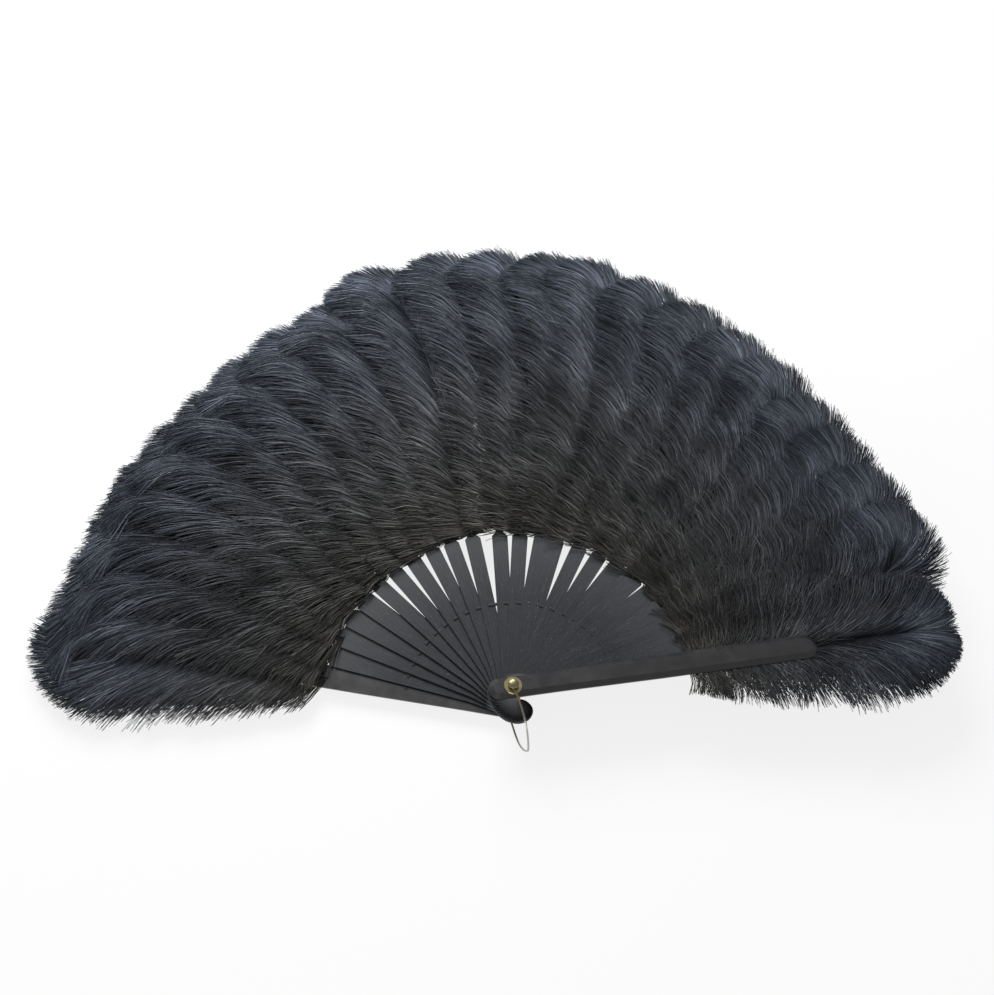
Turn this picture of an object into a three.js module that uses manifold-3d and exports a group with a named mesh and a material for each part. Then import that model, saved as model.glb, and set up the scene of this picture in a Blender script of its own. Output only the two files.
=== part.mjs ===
// A folding fan of black ostrich plumes on ebonised wooden sticks, lying open on its back.
// Millimetres, +Z up out of the front face. The rivet's axis is Z, the middle plumes point
// along +Y, and Z is 0 on the flat back of the rivet.
import * as THREE from 'three';
import { mergeVertices } from 'three/addons/utils/BufferGeometryUtils.js';
import Module from 'manifold-3d';

const wasm = await Module();
wasm.setup();

// The spread: directions about the rivet, counted from +X
const STICK_COUNT = 22;
const BACK_GUARD_DEG = 170.5;
const FRONT_GUARD_DEG = 9.5;
const PITCH_DEG = (BACK_GUARD_DEG - FRONT_GUARD_DEG) / (STICK_COUNT + 1);
// Sticks that the hand left a little off the even spread, by number
const LEAN_DEG = {
  9: 0.5, 10: 0.3, 11: -1.6, 12: -1.2, 13: -1.3, 14: 0.8, 18: 0.5, 19: -0.4, 20: 0.2, 21: -0.2,
};

// Inner sticks: flat laths with a round head, a shoulder and a thinned stem for the plume
const STICK_THICKNESS = 1.05;
const LAYER_GAP = 0.45;
const HEAD_REACH = 18;
const HEAD_RADIUS = 7.5;
const WAIST_RADIUS = 27;
const WAIST_WIDTH = 9.6;
const SHOULDER_RADIUS = 128;
const SHOULDER_SLOPE = 3;
const SHOULDER_WIDTH_MIDDLE = 11.4;
const SHOULDER_WIDTH_OUTER = 15.8;
const STEM_WIDTH = 6;
const STEM_TIP_WIDTH = 3.4;
const STEM_THICKNESS = 0.45;
const STEM_END = 212;
// The blades broaden towards the guards, between these angles from the middle of the spread
const MIDDLE_DEG = 95;
const BROADENS_FROM_DEG = 39;
const BROADENS_TO_DEG = 49;

// Guards: thicker, bevelled on the outer face, with a recess for the plume on the inner face
const GUARD_THICKNESS = 3.6;
const GUARD_HEAD_REACH = 17;
const GUARD_HEAD_RADIUS = 7.7;
const GUARD_NECK_RADIUS = 30;
const GUARD_NECK_WIDTH = 15.4;
const GUARD_BODY_RADIUS = 105;
const GUARD_BODY_WIDTH = 17.2;
const GUARD_END = 220;
const GUARD_END_WIDTH = 18;
const GUARD_BEVEL_WIDTH = 3.6;
const GUARD_BEVEL_DROP = 2.5;

// Plumes: a flat quill and a lobed vane, pressed into the layer of their stick
const PLUME_THICKNESS = 0.5;
const PLUME_CLEARANCE = 0.15;
const PLUME_REACH_SIDE = 330;
const PLUME_REACH_MIDDLE = 390;
const QUILL_WIDTH = 3;
const QUILL_GAP = 0.4;
const QUILL_BARE = 4;
const VANE_HALF_WIDTH = 46;
const VANE_ROOT_HALF_WIDTH = 13;
const VANE_GROWTH = 54;
const VANE_TIP_ROUND = 66;
const VANE_LOBES = 8;
const LOBE_DEPTH = 3.5;
const LOBE_SKEW = 0.75;

// Rivet, washers and bail
const PIN_RADIUS = 1.5;
const PIVOT_CLEARANCE = 0.4;
const STACK_CLEARANCE = 0.3;
const RIVET_HEAD_RADIUS = 3.6;
const RIVET_BACK_HEIGHT = 1.4;
const RIVET_DOME_HEIGHT = 1.9;
const RIVET_EDGE = 0.5;
const WASHER_RADIUS = 6.5;
const WASHER_THICKNESS = 0.8;
const WASHER_EDGE = 0.4;
const BAIL_WIRE = 1.4;
const BAIL_REACH = 40;
const BAIL_DEG = -73.6;
const BAIL_CLEARANCE = 2;
const BAIL_LOOP_TAPER = 1.5;
const EYE_START_DEG = 50;
const EYE_END_DEG = 320;
const EYE_STEP_DEG = 45;
const EYE_LEAVES = 1.7;
const LEG_STARTS = 3;

// Link ribbon: threads every stick through a slit and stops the spread
const RIBBON_RADIUS = 73;
const RIBBON_WIDTH = 3;
const RIBBON_THICKNESS = 0.15;
const SLIT_CLEARANCE = 0.5;

// Facets
const ARC_STEPS = 5;
const LOBE_STEPS = 3;
const LATHE_STEPS = 24;
const WIRE_SIDES = 6;
const WIRE_STEPS = 80;
const DOME_STEPS = 4;
const LOOP_POINTS = 5;

// Heights of the stack along the rivet, from the back
const pitchZ = STICK_THICKNESS + LAYER_GAP;
const bailBackZ = RIVET_BACK_HEIGHT + STACK_CLEARANCE + BAIL_WIRE / 2;
const washerBackZ = bailBackZ + BAIL_WIRE / 2 + STACK_CLEARANCE;
const backGuardZ = washerBackZ + WASHER_THICKNESS + STACK_CLEARANCE;
const firstStickZ = backGuardZ + GUARD_THICKNESS + LAYER_GAP;
const frontGuardZ = firstStickZ + STICK_COUNT * pitchZ;
const washerFrontZ = frontGuardZ + GUARD_THICKNESS + STACK_CLEARANCE;
const bailFrontZ = washerFrontZ + WASHER_THICKNESS + STACK_CLEARANCE + BAIL_WIRE / 2;
const rivetDomeZ = bailFrontZ + BAIL_WIRE / 2 + STACK_CLEARANCE;

const stemStart = SHOULDER_RADIUS + SHOULDER_SLOPE;
const plumeSeat = PLUME_THICKNESS + 2 * PLUME_CLEARANCE;
const far = 2 * PLUME_REACH_MIDDLE;
const radians = THREE.MathUtils.degToRad;

const ebonised = new THREE.MeshStandardMaterial({ color: 0x3b3c40, roughness: 0.45, metalness: 0 });
const lacquered = new THREE.MeshStandardMaterial({ color: 0x26272b, roughness: 0.25, metalness: 0 });
const plumage = new THREE.MeshStandardMaterial({ color: 0x2b2c30, roughness: 0.8, metalness: 0 });
const brass = new THREE.MeshStandardMaterial({ color: 0x8f824e, roughness: 0.35, metalness: 1 });
const wire = new THREE.MeshStandardMaterial({ color: 0x9a9784, roughness: 0.35, metalness: 1 });
const silk = new THREE.MeshStandardMaterial({ color: 0x202124, roughness: 0.6, metalness: 0 });

// A closed geometry as a solid, and back again
function solidOf(geometry) {
  const bare = geometry.clone();
  bare.deleteAttribute('normal');
  bare.deleteAttribute('uv');
  const merged = mergeVertices(bare, 1e-4);
  return new wasm.Manifold(new wasm.Mesh({
    numProp: 3,
    vertProperties: new Float32Array(merged.attributes.position.array),
    triVerts: new Uint32Array(merged.index.array),
  }));
}

function geometryOf(solid) {
  const mesh = solid.getMesh();
  const geometry = new THREE.BufferGeometry();
  geometry.setAttribute('position', new THREE.BufferAttribute(mesh.vertProperties, 3));
  geometry.setIndex(new THREE.BufferAttribute(mesh.triVerts, 1));
  return geometry;
}

// The space above or below a height, outside a radius along the arm
function slab(fromU, fromZ, toZ) {
  const box = new THREE.BoxGeometry(far, far, toZ - fromZ);
  return solidOf(box.translate(fromU + far / 2, 0, (fromZ + toZ) / 2));
}

function flat(shape, thickness, steps) {
  return new THREE.ExtrudeGeometry(shape, { depth: thickness, bevelEnabled: false, curveSegments: steps });
}

// A half outline that ends in two round noses, mirrored about the arm
function lathOutline(headReach, headRadius, stations, endRadius, end) {
  const shape = new THREE.Shape();
  shape.moveTo(headRadius - headReach, -headRadius);
  for (const [u, half] of stations) {
    shape.lineTo(u, -half);
  }
  shape.lineTo(end - endRadius, -endRadius);
  shape.absarc(end - endRadius, 0, endRadius, -Math.PI / 2, Math.PI / 2, false);
  for (const [u, half] of [...stations].reverse()) {
    shape.lineTo(u, half);
  }
  shape.lineTo(headRadius - headReach, headRadius);
  shape.absarc(headRadius - headReach, 0, headRadius, Math.PI / 2, 1.5 * Math.PI, false);
  return shape;
}

function pivotHole() {
  const hole = new THREE.Path();
  hole.absarc(0, 0, PIN_RADIUS + PIVOT_CLEARANCE, 0, 2 * Math.PI, true);
  return hole;
}

function ribbonSlit() {
  const long = RIBBON_WIDTH / 2 + SLIT_CLEARANCE;
  const wide = RIBBON_THICKNESS / 2 + SLIT_CLEARANCE;
  const slit = new THREE.Path();
  slit.moveTo(RIBBON_RADIUS - long, -wide);
  slit.lineTo(RIBBON_RADIUS - long, wide);
  slit.lineTo(RIBBON_RADIUS + long, wide);
  slit.lineTo(RIBBON_RADIUS + long, -wide);
  slit.closePath();
  return slit;
}

function shoulderWidth(deg) {
  const broad = THREE.MathUtils.smoothstep(Math.abs(deg - MIDDLE_DEG), BROADENS_FROM_DEG, BROADENS_TO_DEG);
  return THREE.MathUtils.lerp(SHOULDER_WIDTH_MIDDLE, SHOULDER_WIDTH_OUTER, broad);
}

// A stick along +X, its back at Z 0: full thickness to the shoulder, thin along the stem
function stickGeometry(deg) {
  const stations = [
    [WAIST_RADIUS, WAIST_WIDTH / 2],
    [SHOULDER_RADIUS, shoulderWidth(deg) / 2],
    [stemStart, STEM_WIDTH / 2],
  ];
  const shape = lathOutline(HEAD_REACH, HEAD_RADIUS, stations, STEM_TIP_WIDTH / 2, STEM_END);
  shape.holes.push(pivotHole(), ribbonSlit());
  const lath = solidOf(flat(shape, STICK_THICKNESS, ARC_STEPS));
  return geometryOf(lath.subtract(slab(stemStart, STEM_THICKNESS, 2 * STICK_THICKNESS)));
}

// A guard along +X, its inner face at Z 0 and its bevelled face up
function guardGeometry() {
  const stations = [
    [GUARD_NECK_RADIUS, GUARD_NECK_WIDTH / 2],
    [GUARD_BODY_RADIUS, GUARD_BODY_WIDTH / 2],
  ];
  const shape = lathOutline(
    GUARD_HEAD_REACH, GUARD_HEAD_RADIUS, stations, GUARD_END_WIDTH / 2, GUARD_END,
  );
  const bevelled = new THREE.ExtrudeGeometry(shape, {
    depth: GUARD_THICKNESS - GUARD_BEVEL_DROP,
    bevelThickness: GUARD_BEVEL_DROP,
    bevelSize: GUARD_BEVEL_WIDTH,
    bevelOffset: -GUARD_BEVEL_WIDTH,
    bevelSegments: 1,
    curveSegments: ARC_STEPS,
  });
  const hole = new THREE.Shape(pivotHole().getPoints(ARC_STEPS).reverse());
  const drill = flat(hole, 4 * GUARD_THICKNESS, ARC_STEPS).translate(0, 0, -GUARD_THICKNESS);
  const guard = solidOf(bevelled)
    .subtract(slab(-far / 2, -GUARD_THICKNESS, 0))
    .subtract(slab(stemStart, -GUARD_THICKNESS, plumeSeat))
    .subtract(solidOf(drill));
  return geometryOf(guard);
}

function plumeReach(deg) {
  return THREE.MathUtils.lerp(PLUME_REACH_SIDE, PLUME_REACH_MIDDLE, Math.sin(radians(deg)) ** 3);
}

// A plume along +X, its back at Z 0: bare quill, then a vane with lobes of clumped barbs
function plumeGeometry(reach) {
  const quillStart = stemStart + QUILL_GAP;
  const vaneStart = quillStart + QUILL_BARE;
  const halfWidth = (u) => {
    const grown = THREE.MathUtils.smoothstep(u, vaneStart, vaneStart + VANE_GROWTH);
    const rounded = Math.max(0, u - (reach - VANE_TIP_ROUND)) / VANE_TIP_ROUND;
    const half = THREE.MathUtils.lerp(VANE_ROOT_HALF_WIDTH, VANE_HALF_WIDTH, grown);
    return half * Math.sqrt(Math.max(0, 1 - rounded * rounded));
  };
  const lobe = (reach - vaneStart) / VANE_LOBES;
  const notches = [];
  const swells = [];
  for (let i = 0; i <= VANE_LOBES; i += 1) {
    const u = vaneStart + i * lobe;
    notches.push([u, Math.max(0, halfWidth(u) - LOBE_DEPTH)]);
    const crest = u + lobe * LOBE_SKEW;
    swells.push([crest, halfWidth(crest) + LOBE_DEPTH]);
  }
  const shape = new THREE.Shape();
  shape.moveTo(quillStart, -QUILL_WIDTH / 2);
  shape.lineTo(vaneStart, -QUILL_WIDTH / 2);
  shape.lineTo(notches[0][0], -notches[0][1]);
  for (let i = 0; i < VANE_LOBES; i += 1) {
    shape.quadraticCurveTo(swells[i][0], -swells[i][1], notches[i + 1][0], -notches[i + 1][1]);
  }
  for (let i = VANE_LOBES - 1; i >= 0; i -= 1) {
    shape.quadraticCurveTo(swells[i][0], swells[i][1], notches[i][0], notches[i][1]);
  }
  shape.lineTo(vaneStart, QUILL_WIDTH / 2);
  shape.lineTo(quillStart, QUILL_WIDTH / 2);
  shape.closePath();
  return flat(shape, PLUME_THICKNESS, LOBE_STEPS);
}

// A turned piece from a profile of [radius, height], counter-clockwise
function turned(profile) {
  const points = profile.map(([r, z]) => new THREE.Vector2(r, z));
  return new THREE.LatheGeometry(points, LATHE_STEPS).rotateX(Math.PI / 2);
}

function rivetGeometry() {
  const profile = [
    [0, 0],
    [RIVET_HEAD_RADIUS - RIVET_EDGE, 0],
    [RIVET_HEAD_RADIUS, RIVET_EDGE],
    [RIVET_HEAD_RADIUS, RIVET_BACK_HEIGHT],
    [PIN_RADIUS, RIVET_BACK_HEIGHT],
    [PIN_RADIUS, rivetDomeZ],
    [RIVET_HEAD_RADIUS, rivetDomeZ],
  ];
  for (let i = 0; i < DOME_STEPS; i += 1) {
    const t = (i / DOME_STEPS) * (Math.PI / 2);
    const dome = (RIVET_DOME_HEIGHT - RIVET_EDGE) * Math.sin(t);
    profile.push([RIVET_HEAD_RADIUS * Math.cos(t), rivetDomeZ + RIVET_EDGE + dome]);
  }
  profile.push([0, rivetDomeZ + RIVET_DOME_HEIGHT]);
  return turned(profile);
}

// A washer with its eased edge on the outer side: up for the front, down for the back
function washerGeometry(z, eased) {
  const bore = PIN_RADIUS + PIVOT_CLEARANCE;
  const low = eased < 0 ? WASHER_EDGE : 0;
  const high = eased > 0 ? WASHER_EDGE : 0;
  return turned([
    [bore, z],
    [WASHER_RADIUS - low, z],
    [WASHER_RADIUS, z + WASHER_THICKNESS / 2],
    [WASHER_RADIUS - high, z + WASHER_THICKNESS],
    [bore, z + WASHER_THICKNESS],
    [bore, z],
  ]);
}

// The bail: one wire with an eye round the pin at the front and the back, its legs outside the
// heads, meeting in a pear-shaped loop below them
function bailGeometry() {
  const eye = PIN_RADIUS + PIVOT_CLEARANCE + BAIL_WIRE / 2;
  const clear = HEAD_REACH + BAIL_CLEARANCE;
  const loop = BAIL_REACH - clear;
  const middleZ = (bailFrontZ + bailBackZ) / 2;
  const rise = bailFrontZ - middleZ;
  const half = [];
  for (let deg = EYE_START_DEG; deg <= EYE_END_DEG; deg += EYE_STEP_DEG) {
    half.push([eye * Math.cos(radians(deg)), eye * Math.sin(radians(deg)), rise]);
  }
  half.push([EYE_LEAVES * eye, -BAIL_WIRE / 2, rise]);
  half.push([LEG_STARTS * eye, 0, rise]);
  for (let i = 0; i < LOOP_POINTS; i += 1) {
    const t = (i / LOOP_POINTS) * (Math.PI / 2);
    half.push([clear + loop * Math.sin(t), 0, rise * Math.cos(t) ** BAIL_LOOP_TAPER]);
  }
  const apex = new THREE.Vector3(BAIL_REACH, 0, middleZ);
  const front = half.map(([u, v, w]) => new THREE.Vector3(u, v, middleZ + w));
  const back = half.map(([u, v, w]) => new THREE.Vector3(u, v, middleZ - w)).reverse();
  const path = new THREE.CatmullRomCurve3([...front, apex, ...back]);
  const section = new THREE.Shape();
  section.absarc(0, 0, BAIL_WIRE / 2, 0, 2 * Math.PI, false);
  return new THREE.ExtrudeGeometry(section, {
    steps: WIRE_STEPS, extrudePath: path, curveSegments: WIRE_SIDES / 2,
  });
}

// The ribbon climbs one layer at each stick's slit, drawn on the unrolled cylinder at its radius
// and then rolled up about the rivet
function ribbonGeometry(degs) {
  const half = RIBBON_THICKNESS / 2;
  const along = degs.map((deg) => RIBBON_RADIUS * radians(BACK_GUARD_DEG - deg));
  const gapZ = (i) => firstStickZ + i * pitchZ - LAYER_GAP / 2;
  const upper = [];
  const lower = [];
  for (let i = 0; i + 1 < along.length; i += 1) {
    for (const x of [along[i], along[i + 1]]) {
      upper.push([x - half, gapZ(i) + half]);
      lower.push([x + half, gapZ(i) - half]);
    }
  }
  const outline = [...lower, ...upper.reverse()].map(([x, z]) => new THREE.Vector2(x, z));
  const strip = flat(new THREE.Shape(outline), RIBBON_WIDTH, 1);
  const position = strip.attributes.position;
  for (let i = 0; i < position.count; i += 1) {
    const angle = radians(BACK_GUARD_DEG) - position.getX(i) / RIBBON_RADIUS;
    const radius = RIBBON_RADIUS + RIBBON_WIDTH / 2 - position.getZ(i);
    position.setXYZ(i, radius * Math.cos(angle), radius * Math.sin(angle), position.getY(i));
  }
  return strip;
}

function named(name, geometry, material) {
  const mesh = new THREE.Mesh(geometry, material);
  mesh.name = name;
  return mesh;
}

// An arm is a stick or guard with its plume, turned to its direction about the rivet
function arm(deg, z, ...meshes) {
  const group = new THREE.Group();
  group.add(...meshes);
  group.position.z = z;
  group.rotation.z = radians(deg);
  return group;
}

const fan = new THREE.Group();
const guard = guardGeometry();

const backGuard = named('back_guard', guard, lacquered);
backGuard.rotation.x = Math.PI;
backGuard.position.z = GUARD_THICKNESS;
const backPlume = named('plume_back_guard', plumeGeometry(plumeReach(BACK_GUARD_DEG)), plumage);
backPlume.position.z = GUARD_THICKNESS - PLUME_CLEARANCE - PLUME_THICKNESS;
fan.add(arm(BACK_GUARD_DEG, backGuardZ, backGuard, backPlume));

const directions = [BACK_GUARD_DEG];
for (let number = 1; number <= STICK_COUNT; number += 1) {
  const label = String(number).padStart(2, '0');
  const deg = BACK_GUARD_DEG - number * PITCH_DEG + (LEAN_DEG[number] ?? 0);
  const stick = named(`stick_${label}`, stickGeometry(deg), ebonised);
  const plume = named(`plume_${label}`, plumeGeometry(plumeReach(deg)), plumage);
  plume.position.z = STEM_THICKNESS + PLUME_CLEARANCE;
  fan.add(arm(deg, firstStickZ + (number - 1) * pitchZ, stick, plume));
  directions.push(deg);
}
directions.push(FRONT_GUARD_DEG);

const frontPlume = named('plume_front_guard', plumeGeometry(plumeReach(FRONT_GUARD_DEG)), plumage);
frontPlume.position.z = PLUME_CLEARANCE;
fan.add(arm(FRONT_GUARD_DEG, frontGuardZ, named('front_guard', guard, lacquered), frontPlume));

fan.add(named('rivet', rivetGeometry(), brass));
fan.add(named('washer_back', washerGeometry(washerBackZ, -1), brass));
fan.add(named('washer_front', washerGeometry(washerFrontZ, 1), brass));
const bail = named('bail', bailGeometry(), wire);
bail.rotation.z = radians(BAIL_DEG);
fan.add(bail);
fan.add(named('link_ribbon', ribbonGeometry(directions), silk));

export default fan;
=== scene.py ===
# %% [markdown]
# # A folding fan of black ostrich plumes
# The fan lies open and face up: 22 thin black sticks and two guards turn on one rivet, and every one
# of them carries a plume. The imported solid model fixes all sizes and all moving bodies. This lesson
# loads it, dresses it, and never moves it: new pieces are built around it in the same frame, in metres.

# %% Load the frame
import math

import bpy
import numpy as np
from mathutils import Matrix, Vector


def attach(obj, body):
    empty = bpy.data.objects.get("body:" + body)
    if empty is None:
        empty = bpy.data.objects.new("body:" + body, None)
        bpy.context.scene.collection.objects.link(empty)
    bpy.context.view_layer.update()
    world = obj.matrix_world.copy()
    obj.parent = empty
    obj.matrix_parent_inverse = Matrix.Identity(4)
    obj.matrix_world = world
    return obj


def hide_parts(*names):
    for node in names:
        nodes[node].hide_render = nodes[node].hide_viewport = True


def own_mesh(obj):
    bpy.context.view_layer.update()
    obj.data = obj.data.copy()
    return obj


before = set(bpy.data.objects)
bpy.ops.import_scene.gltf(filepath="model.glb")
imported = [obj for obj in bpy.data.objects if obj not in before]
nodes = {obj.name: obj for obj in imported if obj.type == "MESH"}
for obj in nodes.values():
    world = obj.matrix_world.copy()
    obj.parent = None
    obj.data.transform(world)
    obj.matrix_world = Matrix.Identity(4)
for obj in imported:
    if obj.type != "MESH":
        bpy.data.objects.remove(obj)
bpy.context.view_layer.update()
MM = 0.001
STICKS = [f"stick_{n:02d}" for n in range(1, 23)]
ARMS = ["back_guard", *STICKS, "front_guard"]

# %% [markdown]
# ## One helper for every node tree
# Geometry Nodes and shaders are both trees of nodes. One small function adds a node, sets its options
# and fills its inputs with a number, another node or one of its outputs. A Float Curve node also takes
# the points of its line. Everything below is written with it, so a tree reads from top to bottom like a
# recipe.


# %% The helpers
def add(tree, kind, inputs=None, points=(), **options):
    """A new node with its options set and its inputs filled."""
    made = tree.nodes.new(kind)
    for name, value in options.items():
        setattr(made, name, value)
    for key, value in (inputs or {}).items():
        for part in value if isinstance(value, list) else [value]:
            if isinstance(part, bpy.types.Node):
                part = next(o for o in part.outputs if o.enabled)
            if isinstance(part, bpy.types.NodeSocket):
                tree.links.new(part, made.inputs[key])
            else:
                made.inputs[key].default_value = part
    if points:
        line = made.mapping.curves[0].points
        line[0].location, line[1].location = points[0], points[-1]
        for x, y in points[1:-1]:
            line.new(x, y)
        made.mapping.update()
    return made


def linear(code):
    """A colour written as sRGB hex, such as 2b2d32, as linear RGBA."""
    parts = [int(code[i : i + 2], 16) / 255 for i in (0, 2, 4)]
    return (*(p / 12.92 if p <= 0.04045 else ((p + 0.055) / 1.055) ** 2.4 for p in parts), 1.0)


def finish(name, **sockets):
    """A material, its tree and its Principled node, with the constant sockets set."""
    material = bpy.data.materials.new(name)
    material.use_nodes = True
    shader = material.node_tree.nodes["Principled BSDF"]
    for key, value in sockets.items():
        shader.inputs[key.replace("_", " ")].default_value = value
    return material, material.node_tree, shader


print("mid grey 808080 is", round(linear("808080")[0], 3), "in linear light")

# %% [markdown]
# ## Dyed ostrich barbs
# A plume is keratin dyed black. Each barb is a soft thread that shines a little along its length, so
# the whole plume reads as charcoal with fine lighter strands, never as flat black. Towards the rim the
# barbs are painted bluer, a painted reflection; inside they have faded to a warmer grey. The dye took
# unevenly, in patches, and plumes on the right, and less so on the far left, are painted darker as
# painted shade. Three attributes that the plume carries drive that: place along the plume, tint of the
# thread with that painted shade, and way along the barb. The root of a barb lies in the shade of the
# others, and that shade is painted: the colour darkens towards the root, less so towards the tip, and
# the shine drops with it.

# %% The barbs' material
PATCH = 38 * MM  # size of the patches in the dye
DYE = 5.0  # brings the worn tint, with the painted shade it carries, up to the level of the two dye colours
SHINE = 0.13  # specular level of a barb where it lies open
MEAN_SHINE = 0.1  # set on the socket itself; the linked level overrides it; the export drops the linked level and keeps this one
barb_surface = {"Roughness": 0.5, "IOR": 1.55, "Specular_IOR_Level": MEAN_SHINE}
plume_finish, tree, shader = finish("dyed_ostrich_barb", **barb_surface)
place = add(tree, "ShaderNodeAttribute", attribute_name="place")
tint = add(tree, "ShaderNodeAttribute", attribute_name="tint")
along = add(tree, "ShaderNodeAttribute", attribute_name="along")
# Inputs 6 and 7 of a Mix node are its two colours, and output 2 is their mix.
# painted reflection: towards the rim (place 1) the colour turns bluer, inside it stays a warmer grey
colours = {"Factor": place.outputs["Fac"], 6: linear("464542"), 7: linear("4f5560")}
faded_and_reflected = add(tree, "ShaderNodeMix", colours, data_type="RGBA")
# the tint carries the plume's painted shade as well as the random tint of tuft and thread
worn_and_shade = add(
    tree,
    "ShaderNodeFloatCurve",
    {"Value": tint.outputs["Fac"]},
    points=[(0, 0.1), (0.4, 0.2), (0.65, 0.4), (0.84, 0.66), (1, 0.75)],
)
worn_and_shade = add(tree, "ShaderNodeMath", {0: worn_and_shade, 1: DYE}, operation="MULTIPLY")
# painted shade: the colour darkens towards the root of each barb and less so towards its tip, and the
# shine drops with it
shade = add(
    tree,
    "ShaderNodeFloatCurve",
    {"Value": along.outputs["Fac"]},
    points=[(0, 0.14), (0.22, 0.45), (0.55, 1.0), (1, 0.8)],
)
where = add(tree, "ShaderNodeTexCoord").outputs["Object"]
patch = add(tree, "ShaderNodeTexNoise", {"Vector": where, "Scale": 1 / PATCH, "Detail": 2.0})
limits = {"From Min": 0.3, "From Max": 0.7, "To Min": 0.62, "To Max": 1.38}
patch = add(tree, "ShaderNodeMapRange", {"Value": patch.outputs["Fac"], **limits})
worn_and_shade = add(tree, "ShaderNodeMath", {0: worn_and_shade, 1: patch}, operation="MULTIPLY")
level = add(tree, "ShaderNodeMath", {0: worn_and_shade, 1: shade}, operation="MULTIPLY")
colour = add(tree, "ShaderNodeVectorMath", {0: faded_and_reflected.outputs[2], "Scale": level}, operation="SCALE")
tree.links.new(colour.outputs[0], shader.inputs["Base Color"])
shine = add(tree, "ShaderNodeMath", {0: shade, 1: SHINE}, operation="MULTIPLY")
tree.links.new(shine.outputs[0], shader.inputs["Specular IOR Level"])
print("material", plume_finish.name)

# %% [markdown]
# The shaft of a plume, the rachis, is smoother than its barbs. It is the thicker dark line in the
# middle of each plume, with a faint shine.

# %% The rachis material
quill_finish, tree, shader = finish("dyed_quill", Roughness=0.6)
MOTTLE = 6 * MM
where = add(tree, "ShaderNodeTexCoord").outputs["Object"]
mottle = add(tree, "ShaderNodeTexNoise", {"Vector": where, "Scale": 1 / MOTTLE})
colours = {"Factor": mottle.outputs["Fac"], 6: linear("0c0c0e"), 7: linear("1b1b1a")}
tone = add(tree, "ShaderNodeMix", colours, data_type="RGBA")
tree.links.new(tone.outputs[2], shader.inputs["Base Color"])
print("material", quill_finish.name)

# %% [markdown]
# ## A plume grown by Geometry Nodes
# An ostrich plume is one curved shaft with thousands of barbs. Placing those by hand is hopeless, and
# hair particles would not survive the export, so a node tree grows them. It draws the shaft as a
# curve, puts points along it, sets one bent thread on each point, and only then turns curves into
# mesh. Line graphs (Float Curve nodes) say how the angle and length of the barbs change from the
# downy base to the tip, and a noise field bends neighbours the same way, so that they gather in locks.

# %% The plume tree's inputs and its shaft
plume_tree = bpy.data.node_groups.new("ostrich_plume", "GeometryNodeTree")
T = plume_tree
T.interface.new_socket("Geometry", in_out="OUTPUT", socket_type="NodeSocketGeometry")
PLUME_LENGTHS = ["Start", "Tip", "Hook", "Lift", "Dip", "Lock", "Floor", "Thread"]
VANE_LENGTHS = ["Left Barb", "Right Barb", "Left Cover", "Right Cover"]
PLUME_ANGLES = ["Left Splay", "Right Splay", "Widest"]
PLUME_SHARES = ["Left Curl", "Right Curl", "Bow", "Puff", "Tone", "Roll", "Stray"]
PLUME_COUNTS = ["Strands", "Per Tuft", "Seed"]
for kind, names in (
    ("NodeSocketFloat", PLUME_LENGTHS + VANE_LENGTHS + PLUME_ANGLES + PLUME_SHARES),
    ("NodeSocketInt", PLUME_COUNTS),
    ("NodeSocketMaterial", ["Barb Finish", "Quill Finish"]),
):
    for name in names:
        T.interface.new_socket(name, in_out="INPUT", socket_type=kind)
given = add(T, "NodeGroupInput").outputs
TIP_BARB = 42 * MM  # the last barbs reach this far past the end of the shaft

shaft_end = add(T, "ShaderNodeMath", {0: given["Tip"], 1: TIP_BARB}, operation="SUBTRACT")
shaft = add(
    T,
    "GeometryNodeCurvePrimitiveLine",
    {
        "Start": add(T, "ShaderNodeCombineXYZ", {"X": given["Start"]}),
        "End": add(T, "ShaderNodeCombineXYZ", {"X": shaft_end}),
    },
)
shaft = add(T, "GeometryNodeResampleCurve", {"Curve": shaft, "Count": 20})
way = add(T, "GeometryNodeSplineParameter").outputs["Factor"]
hook = [(0, 0), (0.6, 0.03), (0.85, 0.32), (1, 1)]
swing = add(T, "ShaderNodeFloatCurve", {"Value": way}, points=hook)
hooked = add(T, "ShaderNodeMath", {0: swing, 1: given["Hook"]}, operation="MULTIPLY")
aside = add(T, "ShaderNodeCombineXYZ", {"Y": hooked})
shaft = add(T, "GeometryNodeSetPosition", {"Geometry": shaft, "Offset": aside})
print("plume shaft", len(T.nodes), "nodes")

# %% [markdown]
# Every thread knows its number. A few threads in a row make one tuft, and tufts lie left and right of
# the shaft in turn. Chance gives each thread and tuft its own small differences, always the same for
# one seed. The place of the tuft along the shaft is read back from the shaft's curve with Sample
# Curve, which also gives the direction there, so barbs follow the shaft wherever it bends.

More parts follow.
